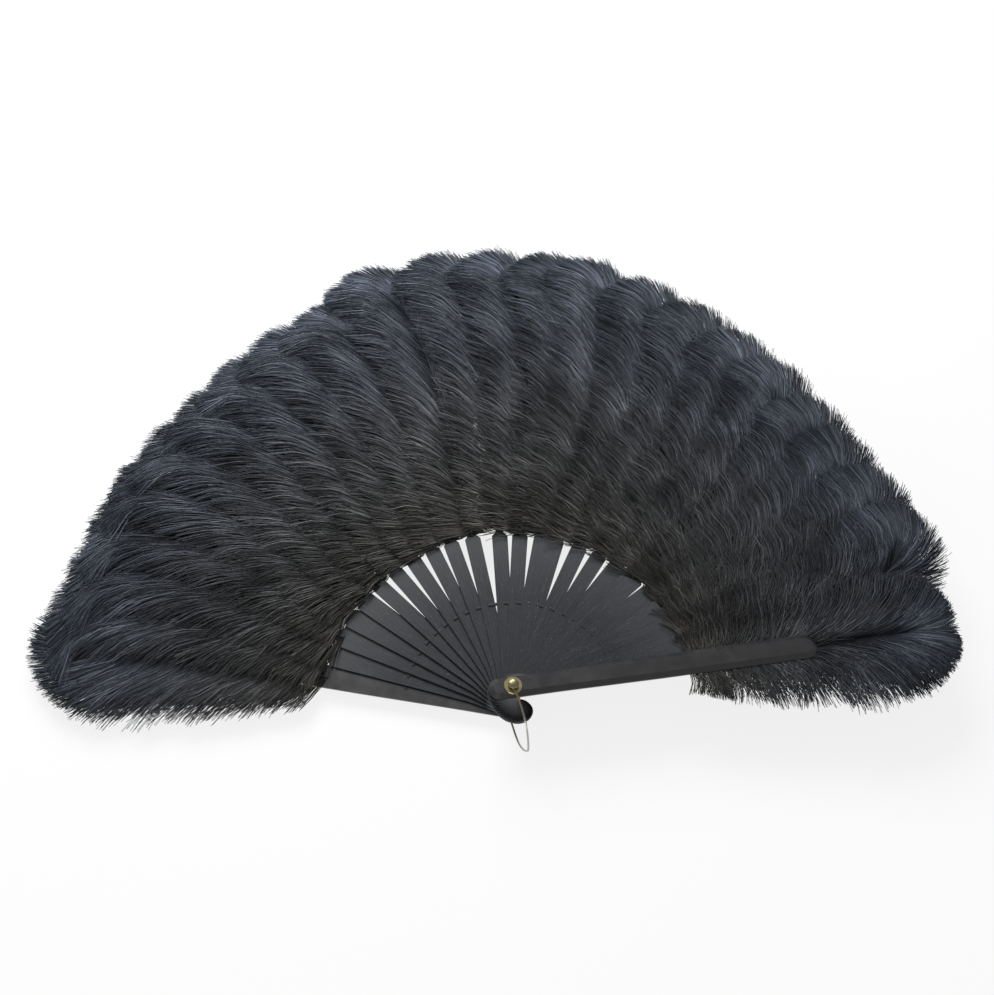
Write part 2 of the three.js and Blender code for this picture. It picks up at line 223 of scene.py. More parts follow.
# %% Where each thread starts
number = add(T, "GeometryNodeInputIndex")
tuft = add(T, "FunctionNodeIntegerMath", {0: number, 1: given["Per Tuft"]}, operation="DIVIDE_FLOOR")
shared = {0: given["Strands"], 1: given["Per Tuft"]}
tufts = add(T, "FunctionNodeIntegerMath", shared, operation="DIVIDE_FLOOR")
parity = add(T, "FunctionNodeIntegerMath", {0: tuft, 1: 2}, operation="MODULO")
side = add(T, "ShaderNodeMath", {0: parity, 1: -2.0, 2: 1.0}, operation="MULTIPLY_ADD")
CHANCES = {
    "tuft place": (-1.0, 1.0, tuft),
    "thread place": (-0.008, 0.008, number),
    "tuft angle": (-0.1, 0.1, tuft),
    "thread angle": (-0.15, 0.15, number),
    "thread rise": (-1.0, 1.0, number),
    "thread length": (0.95, 1.01, number),
    "tuft length": (0.96, 1.02, tuft),
    "tuft curl": (-0.1, 0.1, tuft),
    "tuft tint": (0.0, 0.42, tuft),
    "thread tint": (0.0, 0.58, number),
    "cover": (0.0, 2 * MM, number),
}
chance = {}
for extra, (name, (low, high, per)) in enumerate(CHANCES.items()):
    seed = add(T, "FunctionNodeIntegerMath", {0: given["Seed"], 1: extra}, operation="ADD")
    limits = {2: low, 3: high, "ID": per, "Seed": seed}
    chance[name] = add(T, "FunctionNodeRandomValue", limits, data_type="FLOAT")

spot = add(T, "ShaderNodeMath", {0: tuft, 1: chance["tuft place"]}, operation="ADD")
spot = add(T, "ShaderNodeMapRange", {"Value": spot, "From Max": tufts})
spot = add(T, "ShaderNodeFloatCurve", {"Value": spot}, points=[(0, 0), (0.5, 0.6), (0.8, 0.9), (1, 1)])
spot = add(T, "ShaderNodeMath", {0: spot, 1: chance["thread place"]}, operation="ADD", use_clamp=True)
read = add(T, "GeometryNodeSampleCurve", {"Curves": shaft, "Factor": spot}, mode="FACTOR")
spots = {"Count": given["Strands"], "Position": read.outputs["Position"]}
threads = add(T, "GeometryNodePoints", spots)
print("random values", len(chance))

# %% [markdown]
# Down at the base the barbs stand out sideways, further up they sweep forward, and at the very tip
# they close into a round end that rolls over to the left. A Switch node gives the left and the right
# vane their own length, angle and curl, because on this fan the right vane lies under the next plume.

# %% Angle and length of the barbs
angle = add(
    T,
    "ShaderNodeFloatCurve",
    {"Value": spot},
    points=[(0, 1.0), (0.1, 0.55), (0.35, 0.34), (0.8, 0.32), (0.94, 0.2), (1, 0.0)],
)
reach = add(
    T,
    "ShaderNodeFloatCurve",
    {"Value": spot},
    points=[(0, 0.4), (0.15, 0.55), (0.45, 0.82), (0.8, 1.0), (0.93, 0.86), (1, 0.62)],
)
vane = {}
for name in ("Barb", "Splay", "Curl", "Cover"):
    pair = {"Switch": parity, "False": given["Left " + name], "True": given["Right " + name]}
    vane[name] = add(T, "GeometryNodeSwitch", pair, input_type="FLOAT")
splay = add(T, "ShaderNodeMath", {0: angle, 1: vane["Splay"]}, operation="MULTIPLY")
splay = add(T, "ShaderNodeMath", {0: splay, 1: given["Widest"]}, operation="MINIMUM")
splay = add(T, "ShaderNodeMath", {0: splay, 1: chance["tuft angle"]}, operation="ADD")
calm = add(T, "ShaderNodeMapRange", {"Value": spot, "From Min": 0.3, "To Min": 1.6, "To Max": 0.3})
stray = add(T, "ShaderNodeMath", {0: chance["thread angle"], 1: calm}, operation="MULTIPLY")
splay = add(T, "ShaderNodeMath", {0: stray, 1: given["Stray"], 2: splay}, operation="MULTIPLY_ADD")
yaw = add(T, "ShaderNodeMath", {0: splay, 1: side}, operation="MULTIPLY")
pitch = add(T, "ShaderNodeMath", {0: chance["thread rise"], 1: given["Puff"]}, operation="MULTIPLY")
facing = add(T, "FunctionNodeAlignRotationToVector", {"Vector": read.outputs["Tangent"]}, axis="X")
turn = add(T, "ShaderNodeCombineXYZ", {"Y": pitch, "Z": yaw})
facing = add(T, "FunctionNodeRotateRotation", {0: facing, 1: turn}, rotation_space="LOCAL")
length = add(T, "ShaderNodeMath", {0: reach, 1: vane["Barb"]}, operation="MULTIPLY")
length = add(T, "ShaderNodeMath", {0: length, 1: chance["thread length"]}, operation="MULTIPLY")
length = add(T, "ShaderNodeMath", {0: length, 1: chance["tuft length"]}, operation="MULTIPLY")
roll = [(0, 0), (0.68, 0), (0.88, 0.5), (1, 1)]
rolled = add(T, "ShaderNodeFloatCurve", {"Value": spot}, points=roll)
curled = {0: rolled, 1: given["Roll"], 2: vane["Curl"]}
curl = add(T, "ShaderNodeMath", curled, operation="MULTIPLY_ADD")
curl = add(T, "ShaderNodeMath", {0: curl, 1: chance["tuft curl"]}, operation="ADD")
sideways = add(T, "ShaderNodeMath", {0: length, 1: curl}, operation="MULTIPLY")
size = add(T, "ShaderNodeCombineXYZ", {"X": length, "Y": sideways, "Z": length})
print("barb angles and lengths", len(T.nodes), "nodes")

# %% [markdown]
# One thread, a metre long and gently bent, is the pattern for all. It is set on every point, turned
# and scaled, and made real. What each thread knows, such as its tint with the plume's painted shade,
# is stored as an attribute before that, so the material can read it afterwards.

# %% Threads on the shaft
thread = add(
    T,
    "GeometryNodeCurveQuadraticBezier",
    {
        "Resolution": 3,
        "Start": (0, 0, 0),
        "Middle": add(T, "ShaderNodeCombineXYZ", {"X": 0.55, "Z": given["Bow"]}),
        "End": (0.93, 1.0, 0.0),
    },
)
hue_and_shade = add(T, "ShaderNodeMath", {0: chance["tuft tint"], 1: chance["thread tint"]}, operation="ADD")
# the plume's painted shade is added to the tint of each thread
hue_and_shade = add(T, "ShaderNodeMath", {0: hue_and_shade, 1: given["Tone"]}, operation="ADD")
told = {"place": spot, "tint": hue_and_shade, "roofed": vane["Cover"], "tuft": tuft, "calm": calm}
for name, value in told.items():
    named = {"Geometry": threads, "Name": name, "Value": value}
    threads = add(T, "GeometryNodeStoreNamedAttribute", named, data_type="FLOAT", domain="POINT")
on_points = {"Points": threads, "Instance": thread, "Rotation": facing, "Scale": size}
barbs = add(T, "GeometryNodeInstanceOnPoints", on_points)
barbs = add(T, "GeometryNodeRealizeInstances", {"Geometry": barbs})
print("threads", len(T.nodes), "nodes")

# %% [markdown]
# Then a noise field pushes the loose ends about, less so at the rim, where they close up. A plume is
# not flat either: it lies over its left neighbour, so its left vane lifts and its right vane dips, as
# roof shingles do. Under a guard or a neighbour's stem the barbs are pressed flat, and none goes below
# the table.

# %% Locks, lift and table
LOCK_SIZE = 24 * MM  # barbs this close together bend the same way
VANE_LEVEL = 12 * MM  # level this far to each side of the shaft
VANE_CREST = 34 * MM  # and fully lifted or dipped from here on
PRESSED = 0.2 * MM  # how high a barb may rise under a guard or stem
FREE = 20 * MM  # and past its end
EASED = 12 * MM  # the way from the one to the other
at = add(T, "GeometryNodeInputPosition")
layer = add(T, "ShaderNodeCombineXYZ", {"Z": given["Seed"]})
drift = add(T, "ShaderNodeVectorMath", {0: at, 1: layer}, operation="ADD")
drift = add(T, "ShaderNodeTexNoise", {"Vector": drift, "Scale": 1 / LOCK_SIZE, "Detail": 2.0})
centred = {0: drift.outputs["Color"], 1: (0.5, 0.5, 0.5)}
drift = add(T, "ShaderNodeVectorMath", centred, operation="SUBTRACT")
drift = add(T, "ShaderNodeVectorMath", {0: drift, 1: (1.0, 1.0, 0.4)}, operation="MULTIPLY")
loose = add(T, "ShaderNodeMath", {0: way, 1: given["Lock"]}, operation="MULTIPLY")
calm = add(T, "GeometryNodeInputNamedAttribute", {"Name": "calm"}, data_type="FLOAT")
loose = add(T, "ShaderNodeMath", {0: loose, 1: calm}, operation="MULTIPLY")
drift = add(T, "ShaderNodeVectorMath", {0: drift, "Scale": loose}, operation="SCALE")
barbs = add(T, "GeometryNodeSetPosition", {"Geometry": barbs, "Offset": drift})
parts = add(T, "ShaderNodeSeparateXYZ", {"Vector": at}).outputs
roofed = add(T, "GeometryNodeInputNamedAttribute", {"Name": "roofed"}, data_type="FLOAT")
past = add(T, "ShaderNodeMath", {0: parts["X"], 1: roofed}, operation="SUBTRACT")
limits = {"Value": past, "From Min": 0.0, "From Max": EASED, "To Min": PRESSED, "To Max": FREE}
roof = add(T, "ShaderNodeMapRange", limits)
roof = add(T, "ShaderNodeMath", {0: roof, 1: chance["cover"]}, operation="SUBTRACT")
height = add(T, "ShaderNodeMath", {0: parts["Z"], 1: roof}, operation="MINIMUM")
leftward = {"From Min": VANE_LEVEL, "From Max": VANE_CREST, "To Max": given["Lift"]}
leftward["Value"] = parts["Y"]
rising = add(T, "ShaderNodeMapRange", leftward, interpolation_type="SMOOTHSTEP")
height = add(T, "ShaderNodeMath", {0: height, 1: rising}, operation="ADD")
rightward = {"From Min": -VANE_LEVEL, "From Max": -VANE_CREST, "To Max": given["Dip"]}
rightward["Value"] = parts["Y"]
falling = add(T, "ShaderNodeMapRange", rightward, interpolation_type="SMOOTHSTEP")
height = add(T, "ShaderNodeMath", {0: height, 1: falling}, operation="SUBTRACT")
height = add(T, "ShaderNodeMath", {0: height, 1: given["Floor"]}, operation="MAXIMUM")
moved = add(T, "ShaderNodeCombineXYZ", {"X": parts["X"], "Y": parts["Y"], "Z": height})
barbs = add(T, "GeometryNodeSetPosition", {"Geometry": barbs, "Position": moved})
print("locks", len(T.nodes), "nodes")

# %% [markdown]
# Curve to Mesh wraps each thread in a three-sided skin that tapers to its end. It also gets a flat
# map of that skin: a tuft gets one narrow row of the map, with the way along the barb as its length.
# That is far better than an automatic unwrap, which would cut a plume into thousands of scraps.

# %% Threads and shaft to mesh
named = {"Geometry": barbs, "Name": "along", "Value": way}
barbs = add(T, "GeometryNodeStoreNamedAttribute", named, data_type="FLOAT", domain="POINT")
ring = add(T, "GeometryNodeCurvePrimitiveCircle", {"Resolution": 3, "Radius": 1.0})
named = {"Geometry": ring, "Name": "around", "Value": way}
ring = add(T, "GeometryNodeStoreNamedAttribute", named, data_type="FLOAT", domain="POINT")
taper = add(T, "ShaderNodeMapRange", {"Value": way, "To Min": 1.0, "To Max": 0.6})
taper = add(T, "ShaderNodeMath", {0: taper, 1: given["Thread"]}, operation="MULTIPLY")
wrapped = {"Curve": barbs, "Profile Curve": ring, "Scale": taper, "Fill Caps": True}
barbs = add(T, "GeometryNodeCurveToMesh", wrapped)
kept = {}
for name in ("along", "around", "tuft"):
    kept[name] = add(T, "GeometryNodeInputNamedAttribute", {"Name": name}, data_type="FLOAT")
across = add(T, "ShaderNodeMapRange", {"Value": kept["along"], "To Min": 0.05, "To Max": 0.95})
row = add(T, "ShaderNodeMath", {0: kept["around"], 1: 0.6, 2: 0.2}, operation="MULTIPLY_ADD")
row = add(T, "ShaderNodeMath", {0: kept["tuft"], 1: row}, operation="ADD")
row = add(T, "ShaderNodeMath", {0: row, 1: tufts}, operation="DIVIDE")
flat = add(T, "ShaderNodeCombineXYZ", {"X": across, "Y": row})
named = {"Geometry": barbs, "Name": "OFBake", "Value": flat}
barbs = add(T, "GeometryNodeStoreNamedAttribute", named, data_type="FLOAT2", domain="CORNER")
barbs = add(T, "GeometryNodeSetMaterial", {"Geometry": barbs, "Material": given["Barb Finish"]})
QUILL_FOOT, QUILL_END = 0.8 * MM, 0.25 * MM  # the shaft's radius at both ends
stout = add(T, "ShaderNodeMapRange", {"Value": way, "To Min": QUILL_FOOT, "To Max": QUILL_END})
oval = add(T, "GeometryNodeCurvePrimitiveCircle", {"Resolution": 8, "Radius": 1.0})
wrapped = {"Curve": shaft, "Profile Curve": oval, "Scale": stout, "Fill Caps": True}
quill = add(T, "GeometryNodeCurveToMesh", wrapped)
quill = add(T, "GeometryNodeSetMaterial", {"Geometry": quill, "Material": given["Quill Finish"]})
whole = add(T, "GeometryNodeJoinGeometry", {"Geometry": [barbs, quill]})
whole = add(T, "GeometryNodeSetShadeSmooth", {"Geometry": whole})
whole = add(T, "GeometryNodeRealizeInstances", {"Geometry": whole})
add(T, "NodeGroupOutput", {"Geometry": whole})
print("plume tree", len(T.nodes), "nodes")

# %% [markdown]
# ## From tree to plain mesh
# The export keeps plain meshes only, so the tree is used once for each plume and its result is baked
# into a mesh, which is then turned to its stick's direction and raised to its layer. The direction,
# layer and reach are read from the solid that the plume stands for. Each plume rides on its stick.


# %% Grow one piece from a tree
def grow(name, tree, values, place):
    """A plain mesh object that the tree makes from these values, moved to its place."""
    piece = bpy.data.objects.new(name, bpy.data.meshes.new(name))
    bpy.context.scene.collection.objects.link(piece)
    grown = piece.modifiers.new("grown", "NODES")
    grown.node_group = tree
    sockets = {s.name: s.identifier for s in tree.interface.items_tree if s.in_out == "INPUT"}
    for key, value in values.items():
        grown[sockets[key]] = value
    made = bpy.data.meshes.new_from_object(piece.evaluated_get(bpy.context.evaluated_depsgraph_get()))
    piece.modifiers.remove(grown)
    old, piece.data = piece.data, made
    bpy.data.meshes.remove(old)
    made.name = name
    made.transform(place)
    return piece


def lie_of(node):
    """Direction in degrees, height and reach of a solid."""
    co = np.array([v.co for v in nodes[node].data.vertices])
    middle = co.mean(axis=0)
    degrees = math.degrees(math.atan2(middle[1], middle[0]))
    return degrees, co[:, 2].max(), float(np.hypot(co[:, 0], co[:, 1]).max())


def placed(degrees, height):
    """The way from a piece made along +X to its arm of the fan."""
    return Matrix.Translation((0, 0, height)) @ Matrix.Rotation(math.radians(degrees), 4, "Z")


print("plume_11 points to", round(lie_of("plume_11")[0], 1), "degrees")

# %% All 24 plumes
BASE, BASE_MIDDLE = 127 * MM, 129 * MM  # where the downy edge starts, at the sides and in the middle
RAGGED, WAVE = 1.5 * MM, 2.4  # that edge is ragged, by a wave of this many radians a plume
OPEN, OPENED = (10, 11), 2.5 * MM  # two plumes start higher, so the gap between them stays open
RIM_AT = [0, 1, 2, 4, 6, 9, 10, 12, 14, 18, 20, 22, 23]  # the rim is no clean arc: at these arms
RIM_BY = [-9, 0, -4, -7, -16, -17, 3, 6, 13, 12, 8, 14, 1]  # the plumes end this many mm further out
TABLE = 0.6 * MM  # no barb hangs lower
GUARDED = 222 * MM  # a guard or stem presses the barbs flat up to here
GUARD_PLUMES = {  # the outer plumes have one free edge, where their barbs spread wide
    "back_guard": {
        "Left Splay": math.radians(168),
        "Left Curl": -0.1,
        "Left Barb": 82 * MM,
        "Widest": 0.95,
        "Hook": 0.0,
        "Roll": -0.2,
        "Strands": 5000,
    },
    "front_guard": {
        "Right Splay": math.radians(135),
        "Right Curl": -0.1,
        "Right Barb": 60 * MM,
        "Left Splay": math.radians(92),
        "Left Barb": 62 * MM,
        "Left Cover": GUARDED,
        "Widest": 1.25,
        "Hook": 0.0,
        "Roll": 0.1,
        "Strands": 5400,
    },
}
triangles = 0
for order, arm in enumerate(ARMS):
    node = "plume_" + arm.replace("stick_", "")
    degrees, height, tip = lie_of(node)
    right = order / (len(ARMS) - 1)
    turned = max(0.0, (right - 0.4) / 0.6)  # on the right the barbs turn up and stray more
    straight = min(1.0, max(0.0, (0.42 - right) / 0.22))  # on the left they lie straighter
    start = BASE + (BASE_MIDDLE - BASE) * math.sin(math.pi * right) ** 2
    start += RAGGED * math.sin(WAVE * order)
    values = {
        "Start": start + (OPENED if order in OPEN else 0),
        "Tip": tip + float(np.interp(order, RIM_AT, RIM_BY)) * MM,
        "Hook": (16 + 10 * right) * MM,
        "Left Barb": (72 - 16 * turned + 8 * straight) * MM,
        "Right Barb": 58 * MM,
        "Left Splay": math.radians(98 - 12 * straight + 44 * turned),
        "Right Splay": math.radians(120),
        "Widest": 1.3,
        "Left Curl": 0.14 - 0.04 * straight,
        "Right Curl": 0.28,
        "Roll": 0.45,
        "Stray": 1.1 + 1.6 * turned,
        "Bow": 0.06 + 0.03 * right,
        "Lift": (2 + 2.5 * right) * MM,
        "Dip": 3.5 * MM,
        "Puff": 0.045,
        # painted shade: the plumes on the right, and less so those on the far left, are painted darker
        "Tone": -0.28 * turned - 0.15 * straight,
        "Lock": (6 + 6 * right) * MM,
        "Floor": TABLE - height,
        "Left Cover": 0.0,
        "Right Cover": GUARDED,
        "Thread": 0.33 * MM,  # radius; coarser than a real barb, so that it shows
        "Strands": 3800,
        "Per Tuft": 4,
        "Seed": 100 * order,
        "Barb Finish": plume_finish,
        "Quill Finish": quill_finish,
    }
    values.update(GUARD_PLUMES.get(arm, {}))
    piece = grow("plumage_" + arm, plume_tree, values, placed(degrees, height))
    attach(piece, arm)
    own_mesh(piece)
    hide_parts(node)
    triangles += sum(len(p.vertices) - 2 for p in piece.data.polygons)
print("plumes", len(ARMS), "triangles", triangles)

# %% [markdown]
# ## Ebonised wood
# The sticks are thin laths of hardwood stained black and rubbed down. The grain runs along each stick,
# that is away from the rivet, so the pattern lives in polar coordinates: the distance from the rivet
# runs along the grain and the angle about it runs across. The height is mixed in, so that no two
# sticks match. The stain has worn to a dark grey, with hairline scratches along the grain and a few
# pale specks.

# %% The sticks' material
ebony, tree, shader = finish("ebonised_hardwood", IOR=1.5, Specular_IOR_Level=0.26)
GRAIN_LONG, GRAIN_WIDE = 34 * MM, 0.011  # along in metres, across in radians about the rivet
LAYER = 1.5 * MM  # from one stick of the stack to the next
HELD, SHOULDER = 78 * MM, 122 * MM  # towards the plumes the stain has bleached
PAINTED_LIGHT_FULL, PAINTED_LIGHT_GONE = 9 * MM, 16 * MM  # painted light: the heads at the rivet, whose stack lies in shade, are painted paler up to the first and fade out by the second
SPECK = 1.1 * MM  # drawn coarser than real dust, so that it shows
FAINT = 0.42  # strength of scratches and specks
where = add(tree, "ShaderNodeTexCoord").outputs["Object"]
xyz = add(tree, "ShaderNodeSeparateXYZ", {"Vector": where}).outputs
across = add(tree, "ShaderNodeMath", {0: xyz["Y"], 1: xyz["X"]}, operation="ARCTAN2")
level = add(tree, "ShaderNodeVectorMath", {0: where, 1: (1, 1, 0)}, operation="MULTIPLY")
along = add(tree, "ShaderNodeVectorMath", {0: level}, operation="LENGTH").outputs["Value"]
polar = add(tree, "ShaderNodeCombineXYZ", {"X": along, "Y": across, "Z": xyz["Z"]})
grain_scale = (1 / GRAIN_LONG, 1 / GRAIN_WIDE, 0.7 / LAYER)
grained = add(tree, "ShaderNodeVectorMath", {0: polar, 1: grain_scale}, operation="MULTIPLY")
grain = {"Vector": grained, "Scale": 1.0, "Detail": 5.0, "Roughness": 0.62}
grain = add(tree, "ShaderNodeTexNoise", grain).outputs["Fac"]
hairs = {"Vector": grained, "Scale": 3.4, "Detail": 2.0}
hairs = add(tree, "ShaderNodeTexNoise", hairs).outputs["Fac"]
hairs = add(tree, "ShaderNodeMapRange", {"Value": hairs, "From Min": 0.6, "From Max": 0.74})
specks = {"Vector": where, "Scale": 1 / SPECK, "Detail": 1.0}
specks = add(tree, "ShaderNodeTexNoise", specks).outputs["Fac"]
specks = add(tree, "ShaderNodeMapRange", {"Value": specks, "From Min": 0.68, "From Max": 0.74})
marks = add(tree, "ShaderNodeMath", {0: hairs, 1: specks}, operation="MAXIMUM")
marks = add(tree, "ShaderNodeMath", {0: marks, 1: FAINT}, operation="MULTIPLY")
spread = add(tree, "ShaderNodeMapRange", {"Value": grain, "From Min": 0.3, "From Max": 0.7})
limits = {"Value": along, "From Min": HELD, "From Max": SHOULDER, "To Max": 0.5}
bleached = add(tree, "ShaderNodeMapRange", limits)
# painted light on the shaded stack of heads near the rivet
limits = {"Value": along, "From Min": PAINTED_LIGHT_FULL, "From Max": PAINTED_LIGHT_GONE, "To Min": 0.8, "To Max": 0.0}
painted_light_on_heads = add(tree, "ShaderNodeMapRange", limits)
colours = {"Factor": spread, 6: linear("16181d"), 7: linear("2a2b30")}
stain = add(tree, "ShaderNodeMix", colours, data_type="RGBA")
for share, pale in ((marks, "6c6d70"), (bleached, "43474a"), (painted_light_on_heads, "85878b")):
    colours = {"Factor": share, 6: stain.outputs[2], 7: linear(pale)}
    stain = add(tree, "ShaderNodeMix", colours, data_type="RGBA")
tree.links.new(stain.outputs[2], shader.inputs["Base Color"])
satin = add(tree, "ShaderNodeMapRange", {"Value": grain, "To Min": 0.36, "To Max": 0.6})
tree.links.new(satin.outputs[0], shader.inputs["Roughness"])
relief = {"Strength": 0.3, "Distance": 0.08 * MM, "Height": grain}
relief = add(tree, "ShaderNodeBump", relief)
tree.links.new(relief.outputs[0], shader.inputs["Normal"])
print("material", ebony.name)

# %% [markdown]
# ## Lacquer on the guards
# The two guards are the covers of the closed fan, so they got several coats of black lacquer. It is
# almost a mirror at a low angle, with handling smears where fingers dulled it. A clear coat layer on
# top of a satin base gives both the sharp and the soft reflection.

# %% The guards' material
lacquer, tree, shader = finish("black_lacquer", IOR=1.55, Coat_Weight=0.9, Coat_Roughness=0.08)
SMEAR = 14 * MM  # as wide as a finger
where = add(tree, "ShaderNodeTexCoord").outputs["Object"]
smear = {"Vector": where, "Scale": 1 / SMEAR, "Detail": 4.0, "Distortion": 0.6}
smear = add(tree, "ShaderNodeTexNoise", smear)
colours = {"Factor": smear.outputs["Fac"], 6: linear("0e0f12"), 7: linear("1f1f22")}
tone = add(tree, "ShaderNodeMix", colours, data_type="RGBA")
tree.links.new(tone.outputs[2], shader.inputs["Base Color"])
dull = add(tree, "ShaderNodeMapRange", {"Value": smear.outputs["Fac"], "To Min": 0.16, "To Max": 0.5})
tree.links.new(dull.outputs[0], shader.inputs["Roughness"])
print("material", lacquer.name)

# %% [markdown]
# ## Aged brass and bright wire
# The rivet and its washers are turned brass that has gone dull olive, except where it is rubbed. The
# bail is brass wire with a worn silver plating, so it is yellow where it turns on the pin and grey
# further out. The distance from the rivet's axis mixes the two.

# %% The metals
brass, tree, shader = finish("aged_brass", Metallic=1.0)
TARNISH = 2.4 * MM
where = add(tree, "ShaderNodeTexCoord").outputs["Object"]
tarnish = {"Vector": where, "Scale": 1 / TARNISH, "Detail": 3.0}
tarnish = add(tree, "ShaderNodeTexNoise", tarnish).outputs["Fac"]
colours = {"Factor": tarnish, 6: linear("5a5340"), 7: linear("b9ae86")}
tone = add(tree, "ShaderNodeMix", colours, data_type="RGBA")
tree.links.new(tone.outputs[2], shader.inputs["Base Color"])
rough = add(tree, "ShaderNodeMapRange", {"Value": tarnish, "To Min": 0.5, "To Max": 0.22})
tree.links.new(rough.outputs[0], shader.inputs["Roughness"])

wire, tree, shader = finish("plated_wire", Metallic=1.0, Roughness=0.3)
BARE, PLATED = 9 * MM, 24 * MM  # from the rivet's axis
where = add(tree, "ShaderNodeTexCoord").outputs["Object"]
level = add(tree, "ShaderNodeVectorMath", {0: where, 1: (1, 1, 0)}, operation="MULTIPLY")
away = add(tree, "ShaderNodeVectorMath", {0: level}, operation="LENGTH").outputs["Value"]
plate = add(tree, "ShaderNodeMapRange", {"Value": away, "From Min": BARE, "From Max": PLATED})
colours = {"Factor": plate, 6: linear("a3945f"), 7: linear("a9a8a2")}
tone = add(tree, "ShaderNodeMix", colours, data_type="RGBA")
tree.links.new(tone.outputs[2], shader.inputs["Base Color"])
print("materials", brass.name, wire.name)

# %% [markdown]
# ## Finishes on the solid pieces
# Sticks, guards and metal parts of the solid model are shown as they are. A Bevel modifier breaks
# their sharp edges by a fraction of a millimetre, because real wood has no razor edges and a broken
# edge catches the light as a thin bright line.

# %% Materials and broken edges
EDGE = {"stick": 0.2 * MM, "guard": 0.35 * MM}
SHARP = math.radians(35)
dressed = 0
for name, o in nodes.items():
    if name.startswith("plume") or name == "link_ribbon":
        continue
    kind = "stick" if name.startswith("stick") else "guard" if name.endswith("guard") else name
    o.data.materials.clear()
    o.data.materials.append({"stick": ebony, "guard": lacquer, "bail": wire}.get(kind, brass))
    o.data.polygons.foreach_set("use_smooth", [True] * len(o.data.polygons))
    o.data.set_sharp_from_angle(angle=SHARP)
    if kind in EDGE:
        edge = o.modifiers.new("broken_edge", "BEVEL")
        edge.width = EDGE[kind]
        edge.segments = 2
        edge.limit_method = "ANGLE"
        edge.angle_limit = SHARP
    dressed += 1
print("solid pieces dressed", dressed)

# %% [markdown]
# ## The link ribbon
# A narrow silk ribbon runs through a slit in every stick and stops the fan from opening further. The
# solid model holds it as one rigid band. Here it is cut into one span for each gap between two sticks,
# an arc swept by Curve to Mesh, and each span rides on the upper of its two sticks.

# %% The ribbon's material
silk, tree, shader = finish("black_silk", Roughness=0.75)
WEAVE = 0.8 * MM  # coarser than real silk, so that it shows
where = add(tree, "ShaderNodeTexCoord").outputs["Object"]
weave = add(tree, "ShaderNodeTexNoise", {"Vector": where, "Scale": 1 / WEAVE, "Detail": 2.0})
colours = {"Factor": weave.outputs["Fac"], 6: linear("17181c"), 7: linear("2a2b30")}
tone = add(tree, "ShaderNodeMix", colours, data_type="RGBA")
tree.links.new(tone.outputs[2], shader.inputs["Base Color"])
print("material", silk.name)

# %% The ribbon's tree
SLIT_FILL = 6.0  # in the slit the ribbon is gathered to this many times its thickness
SPAN_SHARE = 0.7  # between two slits it is pulled in to this share of its width
R = bpy.data.node_groups.new("ribbon_span", "GeometryNodeTree")
R.interface.new_socket("Geometry", in_out="OUTPUT", socket_type="NodeSocketGeometry")
for name in ("Radius", "Start", "Sweep", "Width", "Thickness", "Rise"):
    R.interface.new_socket(name, in_out="INPUT", socket_type="NodeSocketFloat")
R.interface.new_socket("Finish", in_out="INPUT", socket_type="NodeSocketMaterial")
given = add(R, "NodeGroupInput").outputs
bow = {"Start Angle": given["Start"], "Sweep Angle": given["Sweep"]}
path = add(R, "GeometryNodeCurveArc", {"Resolution": 8, "Radius": given["Radius"], **bow})
narrow = add(R, "ShaderNodeMath", {0: given["Width"], 1: SPAN_SHARE}, operation="MULTIPLY")
section = {"Width": narrow, "Height": given["Thickness"]}
section = add(R, "GeometryNodeCurvePrimitiveQuadrilateral", section)
band = add(R, "GeometryNodeCurveToMesh", {"Curve": path, "Profile Curve": section, "Fill Caps": True})
turn = add(R, "ShaderNodeCombineXYZ", {"Z": given["Start"]})
loop = add(R, "ShaderNodeMath", {0: given["Thickness"], 1: SLIT_FILL}, operation="MULTIPLY")
loop = add(R, "ShaderNodeCombineXYZ", {"X": given["Width"], "Y": loop, "Z": given["Rise"]})
loop = add(R, "GeometryNodeMeshCube", {"Size": loop})
half = add(R, "ShaderNodeMath", {0: given["Rise"], 1: 0.5}, operation="MULTIPLY")
aside = add(R, "ShaderNodeCombineXYZ", {"X": given["Radius"], "Z": half})
loop = add(R, "GeometryNodeTransform", {"Geometry": loop, "Translation": aside})
loop = add(R, "GeometryNodeTransform", {"Geometry": loop, "Rotation": turn})
band = add(R, "GeometryNodeJoinGeometry", {"Geometry": [band, loop]})
band = add(R, "GeometryNodeRealizeInstances", {"Geometry": band})
band = add(R, "GeometryNodeSetMaterial", {"Geometry": band, "Material": given["Finish"]})
add(R, "NodeGroupOutput", {"Geometry": band})
print("ribbon tree", len(R.nodes), "nodes")

# %% All spans of the ribbon
ribbon = np.array([v.co for v in nodes["link_ribbon"].data.vertices])
radii = np.hypot(ribbon[:, 0], ribbon[:, 1])
RIBBON_RADIUS = float(radii.min() + radii.max()) / 2
RIBBON_WIDTH = 3.6 * MM  # in the slit
RIBBON_THICK = 0.15 * MM
FLUSH = 1.24 * MM  # the gathered ribbon ends level with the face of its stick
lowest = float(ribbon[:, 2].min()) + RIBBON_THICK / 2
for order, (lower, upper) in enumerate(zip(ARMS, ARMS[1:])):
    left, slit = (math.radians(lie_of(name)[0]) for name in (lower, upper))
    values = {"Radius": RIBBON_RADIUS, "Start": slit, "Sweep": left - slit, "Finish": silk}
    values.update({"Width": RIBBON_WIDTH, "Thickness": RIBBON_THICK, "Rise": FLUSH})
    level = lowest + order * LAYER
    span = grow(f"ribbon_span_{order + 1:02d}", R, values, Matrix.Translation((0, 0, level)))
    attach(span, upper)
    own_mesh(span)
    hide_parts("link_ribbon")
print("ribbon spans", len(ARMS) - 1, "at", round(RIBBON_RADIUS / MM, 1), "mm from the rivet")

